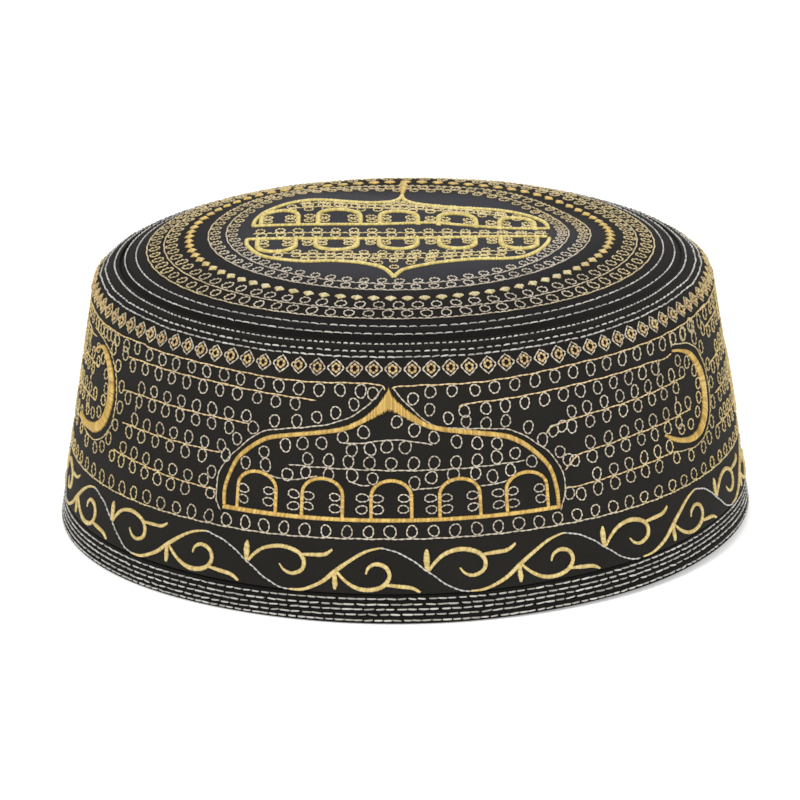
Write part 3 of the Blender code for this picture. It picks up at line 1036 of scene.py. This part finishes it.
# A line between two motifs, with loops over and under it. before and after are its points, told from the
# motif at its start and from the one at its end. over and under give the first loop's across from the start,
# the last one's from the end, and the pitch
Row = namedtuple("Row", "before after over under")
TOP_ROW = Row(
    before=[
        (0.6, 59.9), (2.3, 60.5), (9, 60.8), (24, 60.7), (39, 61.1), (54, 61.6), (79, 61.4), (104, 61.2),
        (122, 61.8),
    ],
    after=[(-80, 61.5), (-55.7, 61.6), (-25.7, 61.0), (-10.7, 61.4), (-4, 61.1), (-1.8, 60.7), (-1.2, 59.4)],
    over=None,
    under=(17.8, -7.9, 6.1),
)
ROWS_INTO_CRESCENT = (
    Row([(19.5, 54.0), (21.5, 55.2), (35, 55.6), (54, 56.3)], [(-17, 56.2), (-10, 55.5), (-5, 56.0)],
        None, (21, -13.8, 5.9)),
    Row([(44, 44.6), (46.5, 46.6), (54, 47.6), (64, 48.2)], [(-15, 48.6), (0.6, 48.9)],
        (52.3, -6.5, 5.8), (52.3, -5, 5.8)),
    Row([(49, 34.0), (51.5, 36.4), (55, 37.9), (64, 38.6), (74, 39.1)], [(1.5, 39.4)],
        (57.9, 0.3, 5.9), (58.1, -5.9, 5.9)),
    Row([(48.6, 29.3), (54, 29.3), (64, 29.8), (74, 30.1)], [(-11, 30.5)],
        (58.9, -11.8, 5.7), (59, -17.6, 5.6)),
)
ROWS_FROM_CRESCENT = (
    Row([(19.4, 56.6), (29, 57.1), (60, 57.4)], [(-50, 57.3), (-35, 56.8), (-20.7, 56.2)],
        None, (22.3, -26.7, 6.0)),
    Row([(18.5, 47.2), (29, 47.9)], [(-55, 48.0), (-40.5, 47.9)], (27.9, -41.7, 5.75), (21.6, -47, 5.7)),
    Row([(20, 38.5), (29, 38.7)], [(-60, 38.8), (-49.0, 38.6)], (26.2, -49.2, 5.6), (24, -55.4, 5.75)),
    Row([(17, 30.0), (32, 29.5), (43.5, 28.8)], [(-49.5, 28.4)], (22, -54.2, 5.55), (16.8, -60.4, 5.4)),
)
LOOPS_BEFORE_ROWS = [(46.4, 45.0), (49.4, 46.0), (50.2, 36.9)]  # from the mosque on their left
STROKES_IN_CRESCENT = (
    [(-11.8, 56.2), (-12.4, 52.4)], [(-5.7, 45), (-5.9, 42.8)], [(-4.4, 61.2), (-4.4, 57.2)],
)
STROKE_AFTER_CRESCENT = [(26.3, 45.2), (26.1, 42.6)]


def shifted(points, across):
    """The same points, this much further round the cap."""
    return [(across + x, climb) for x, climb in points]


def looped_row(lines, loops, row, start, end):
    """One Row between the motifs at start and at end."""
    line = smooth(shifted(row.before, start) + shifted(row.after, end))
    lines.line(on_side, line, half=0.22)
    for run, side in ((row.over, ROW_TO_LOOP), (row.under, -ROW_TO_LOOP)):
        if run:
            first, last, pitch = run
            loops.loops(on_side, *beside(line, start + first, end + last, pitch, side))


def round_line(climb):
    """A closed line round the side, from the back round to the back."""
    return widened(np.linspace(-ROUND_THE_CHART / 2, ROUND_THE_CHART / 2, 1200), climb)


def shoulder_rows():
    """Three sewn rows over the shoulder, and the chain of double diamonds under them."""
    sewing = Needlework("shoulder_row_stitches", 6)
    for climb, stitch, share in zip(SHOULDER_ROWS, (1.9, 2.7, 2.6), (0.74, 0.78, 0.94)):
        sewing.dashes(on_side, round_line(climb), half=0.25, stitch=stitch, share=share)
    sewing.finish(SILVER_THREAD)
    spots = widened(ROUND_THE_CHART * (np.arange(DIAMONDS) + 0.41) / DIAMONDS, DIAMOND_CLIMB)
    outer = Needlework("diamond_chain", 7)
    outer.loops(on_side, spots, across=2.35, upright=2.15, half=0.22, stitches=10, corners=1.75, rough=0.4)
    outer.finish(BEIGE_THREAD)
    inner = Needlework("diamond_rings", 15)
    inner.loops(on_side, spots, across=1.05, upright=1.0, half=0.36, stitches=6, corners=1.15, rough=0.6)
    inner.finish(RING_THREAD)


def band_motifs():
    """The mosques and the crescents round the band, each kind spaced about a third of the way round."""
    satin = Needlework("band_motif_satin", 8)
    sewing = Needlework("band_motif_stitches", 9)
    for middle in MOSQUES:
        mosque(satin, sewing, middle)
    for middle, shape in zip(CRESCENTS, (CRESCENT, CRESCENT, ROUND_CRESCENT)):
        crescent(satin, sewing, middle, shape)
    satin.finish(GOLD_SATIN)
    sewing.finish(BEIGE_THREAD)


def band_rows():
    """The rows of loops between the motifs, over them and under them."""
    lines = Needlework("band_row_lines", 10)
    loops = Needlework("band_row_loops", 11)
    following = MOSQUES[1:] + (MOSQUES[0] + ROUND_THE_CHART,)
    for mosque_at, crescent_at, next_mosque in zip(MOSQUES, CRESCENTS, following):
        looped_row(lines, loops, TOP_ROW, mosque_at, next_mosque)
        loops.loops(on_side, [(mosque_at + 11.5, 58.9), (next_mosque - 4.7, 58.5)])
        for row in ROWS_INTO_CRESCENT:
            looped_row(lines, loops, row, mosque_at, crescent_at)
        loops.loops(on_side, shifted(LOOPS_BEFORE_ROWS, mosque_at))
        for stroke in STROKES_IN_CRESCENT:
            loops.line(on_side, shifted(stroke, crescent_at), half=0.22)
        for row in ROWS_FROM_CRESCENT:
            looped_row(lines, loops, row, crescent_at, next_mosque)
        loops.loops(on_side, [(crescent_at + 17.6, 57.0)])
        loops.line(on_side, shifted(STROKE_AFTER_CRESCENT, crescent_at), half=0.22)
    lines.finish(GOLD_THREAD)
    across = 1.5 + ROUND_THE_CHART * np.arange(BASE_ROW_LOOPS) / BASE_ROW_LOOPS
    loops.loops(on_side, widened(across, BASE_ROW_CLIMB + 1.9), across=1.46, upright=1.64)
    loops.line(on_side, round_line(BASE_ROW_CLIMB), half=0.22, closed=True)
    loops.finish(BEIGE_THREAD)


# The vine scroll, in one repeat: across from the hanging bud's stalk, climb, and the satin's width

VINE_LENGTH = 48.2
VINE_CREST = 12.5  # where in a repeat the stem is highest
FRONT_CRESTS = (-105.0, -56.3, -6.7, 42.8, 92.5)
REAR_REPEATS = 8
PUSHED_AT, PUSHED_SPREAD = -32.0, 14.0  # across, of a place where the scroll is sewn a little further right
PUSH = 1.9
RISING_STEM = (
    (-13, 4.8, 0.5), (-9, 5.1, 0.85), (-4, 7.3, 1.15), (0, 10.5, 1.3), (4, 13.4, 1.1), (8, 15.9, 0.9),
    (11.5, 17.0, 0.6), (13.0, 17.1, 0.45),
)
FALLING_STEM = ((12, 17.1), (14, 16.9), (19, 14.8), (24.3, 10.7), (29, 7.0), (32.0, 5.4), (35.4, 4.7))
UPRIGHT_BUD = ((24.3, 10.8, 1.0), (24.1, 12.6, 1.7), (24.1, 15.0, 1.7), (24.2, 16.7, 0.6))
UPPER_CURL = (
    (24.6, 10.9, 0.8), (26.3, 13.2, 1), (29, 15.4, 1.2), (33, 16.3, 1.4), (37, 15.2, 1.3),
    (39, 12.9, 1.2), (38.6, 10.3, 1.2), (36, 9, 1.1), (33.8, 9.7, 0.8), (32.5, 11.3, 0.5),
)
UPPER_TAIL = ((38.0, 14.4, 0.8), (41.5, 14.6, 1.2), (45.0, 14.9, 1.2), (47.3, 16.4, 0.7))
HANGING_BUD = ((0.0, 10.2, 1.0), (-0.1, 8.6, 1.4), (0.0, 7.0, 1.5), (-0.1, 5.6, 0.7))
LOWER_CURL = (
    (0.3, 10.5, 0.8), (3, 7.9, 1), (6.3, 6.1, 1.2), (9.8, 5.8, 1.3), (13, 6.9, 1.3), (14.6, 9.4, 1.2),
    (13.7, 11.9, 1.2), (11.2, 12.8, 1.2), (9.2, 11.8, 0.9), (8.5, 10, 0.5),
)
LOWER_TAIL = ((13.5, 7.2, 0.8), (17.0, 6.8, 1.2), (20.3, 6.3, 1.1), (22.3, 5.1, 0.7))


def vine():
    """The scroll at the foot of the band: gold satin stems, curls and buds, with a thin silver stem."""
    gold = Needlework("vine_satin", 12)
    silver = Needlework("vine_stem_stitches", 13)
    rear = np.linspace(FRONT_CRESTS[-1], FRONT_CRESTS[0] + ROUND_THE_CHART, REAR_REPEATS + 1)
    crests = [*FRONT_CRESTS[:-1], *rear]
    for crest, following in zip(crests, crests[1:]):
        stretch = (following - crest) / VINE_LENGTH

        def path(part, start=crest, stretch=stretch):
            curve = smooth([(start + stretch * (across - VINE_CREST), *rest) for across, *rest in part], 8)
            curve[:, 0] += PUSH * np.exp(-(((curve[:, 0] - PUSHED_AT) / PUSHED_SPREAD) ** 2))
            return curve

        for part in (RISING_STEM, UPRIGHT_BUD, UPPER_CURL, UPPER_TAIL, HANGING_BUD, LOWER_CURL, LOWER_TAIL):
            gold.satin(on_side, path(part), height=0.6, lay=0.45)
        silver.line(on_side, path(FALLING_STEM), half=0.24, stitch=1.6)
    gold.finish(VINE_SATIN)
    silver.finish(SILVER_THREAD)


def hem_rows():
    """Rows of silver topstitching round the hem."""
    sewing = Needlework("hem_topstitching", 14)
    for height, stitch in zip(HEM_ROW_HEIGHTS, (2.6, 3.0, 2.8, 2.9, 2.5)):
        row = round_line(climb_of_height(height))
        sewing.dashes(on_side, row, half=0.25, stitch=stitch, share=0.95, wobble=0.08)
    sewing.finish(SILVER_THREAD)


# The setting

SKY = 0.75
SOFTBOXES = (
    ("key_light", (-0.9, -1.1, 1.5), 0.7, 16.0),
    ("fill_light", (1.3, -0.9, 0.9), 0.9, 8.0),
    ("back_light", (0.2, 1.4, 1.4), 0.9, 8.0),
)
CAMERA_PLACE = (0.0, -1.6087, 0.5514)
CAMERA_AIM = (-0.0013, 0.0, 0.0314)
CAMERA_LENS = 272.0
CAMERA_ROLL = math.radians(-0.74)
LIGHTS_AIM = (0, 0, 0.04)
FLOOR_HEIGHT = -0.0002  # just under the rim, so that the two faces don't fight


def looking(place, aim):
    """The turn of a lamp or a camera at place that looks at aim."""
    return (Vector(aim) - Vector(place)).to_track_quat("-Z", "Y")


def studio():
    """A plain pale floor, with soft light from above and from both sides."""
    mesh = bpy.data.meshes.new("floor")
    mesh.from_pydata([(-4, -4, 0), (4, -4, 0), (4, 4, 0), (-4, 4, 0)], [], [(0, 1, 2, 3)])
    paint = Nodes("floor_paint")
    paint.set(Base_Color=(0.95, 0.95, 0.94, 1), Roughness=0.9, Specular_IOR_Level=0.1)
    paint.set(Emission_Color=(1.0, 1.0, 0.985, 1), Emission_Strength=0.30)
    mesh.materials.append(paint.material)
    floor = placed("floor", mesh)
    floor.location.z = FLOOR_HEIGHT
    world = bpy.data.worlds.new("soft_sky")
    world.use_nodes = True
    sky = world.node_tree.nodes["Background"].inputs
    sky["Color"].default_value = (1.0, 1.0, 1.0, 1)
    sky["Strength"].default_value = SKY
    bpy.context.scene.world = world
    for name, place, size, power in SOFTBOXES:
        light = bpy.data.lights.new(name, "AREA")
        light.shape = "DISK"
        light.size = size
        light.energy = power
        lamp = placed(name, light)
        lamp.location = place
        lamp.rotation_euler = looking(place, LIGHTS_AIM).to_euler()


def photo_camera():
    """The camera at the photograph's angle, turned a little about its view."""
    data = bpy.data.cameras.new("photo_camera")
    data.lens = CAMERA_LENS
    data.sensor_width = 36.0
    camera = placed("photo_camera", data)
    look = looking(CAMERA_PLACE, CAMERA_AIM).to_matrix() @ Matrix.Rotation(CAMERA_ROLL, 3, "Z")
    camera.matrix_world = Matrix.Translation(CAMERA_PLACE) @ look.to_4x4()
    bpy.context.scene.camera = camera


def main():
    bpy.context.scene.view_settings.view_transform = "Standard"
    photo_camera()
    studio()
    crown_cloth()
    band_cloth()
    hem_cloth()
    crown_rings()
    crown_chain()
    crown_motif()
    shoulder_rows()
    band_motifs()
    band_rows()
    vine()
    hem_rows()


main()
